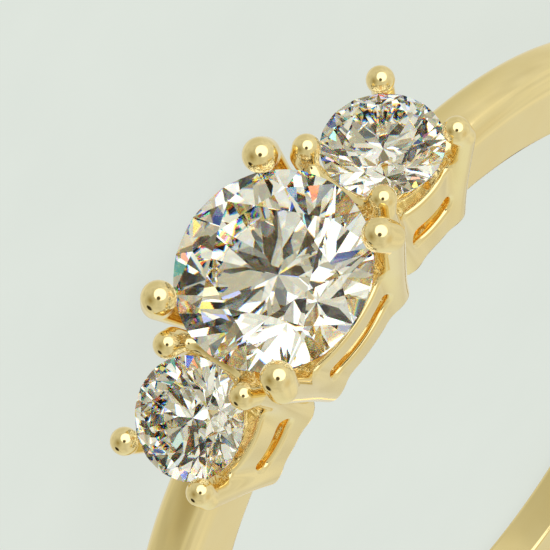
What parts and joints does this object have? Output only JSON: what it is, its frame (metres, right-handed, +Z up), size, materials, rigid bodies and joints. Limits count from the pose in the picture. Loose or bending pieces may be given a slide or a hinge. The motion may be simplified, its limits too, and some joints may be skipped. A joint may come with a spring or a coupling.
{
  "type": "three stone ring",
  "caption": "Slim gold finger ring with round brilliants in open claw baskets with ball tips, the largest stone in the middle.",
  "frame": {"origin": "bottom centre of the bounding box, on the surface that the ring lies on", "axes": "+Z up, 5 degrees off the finger axis; stones towards -Y; the right side stone towards +X"},
  "size_m": [0.0206, 0.0234, 0.005],
  "materials": {
    "gold": "polished yellow gold",
    "stone": "polished facets, clear and colourless"
  },
  "bodies": {
    "root": {"ring_mount": "gold", "centre_stone": "stone", "left_side_stone": "stone", "right_side_stone": "stone"}
  },
  "joints": []
}
